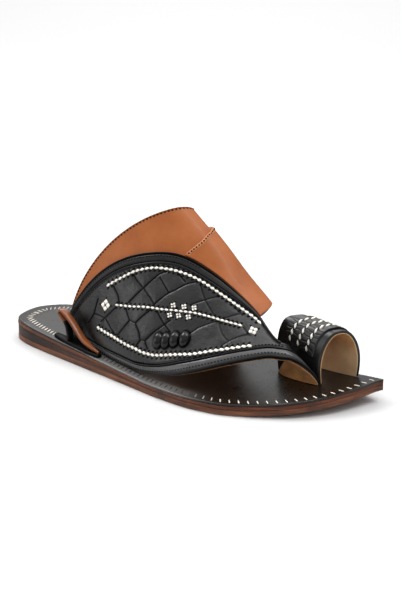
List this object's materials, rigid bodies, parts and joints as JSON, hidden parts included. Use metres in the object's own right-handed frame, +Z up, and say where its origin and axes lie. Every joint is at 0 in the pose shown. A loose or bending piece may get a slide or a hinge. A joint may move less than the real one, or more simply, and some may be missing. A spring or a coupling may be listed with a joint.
{
  "type": "leather sandal",
  "caption": "Right-foot leather slip-on sandal with a layered flat sole, a tall instep band, a leaf-shaped ornamented strap and a loop for the big toe.",
  "frame": {"origin": "centre of the sole's bounding box, on the floor", "axes": "+X to the toe, +Y to the inner side of the foot, +Z up"},
  "size_m": [0.29, 0.0998, 0.1153],
  "materials": {
    "outsole_leather": "burnished edge",
    "wedge_leather": "burnished edge",
    "midsole_leather": "burnished edge",
    "insole_leather": "polished",
    "tan_leather": "satin",
    "black_leather": "semi-gloss"
  },
  "bodies": {
    "root": {"outsole": "outsole_leather", "heel_wedge": "wedge_leather", "midsole": "midsole_leather", "insole": "insole_leather", "upper": "tan_leather", "instep_front_band": "tan_leather", "leaf_panel": "black_leather", "leaf_border": "black_leather", "leaf_knot_1": "black_leather", "leaf_knot_2": "black_leather", "leaf_knot_3": "black_leather", "leaf_knot_4": "black_leather", "toe_loop": "black_leather", "toe_loop_band": "black_leather", "side_loop": "tan_leather", "side_tab": "black_leather"}
  },
  "joints": []
}
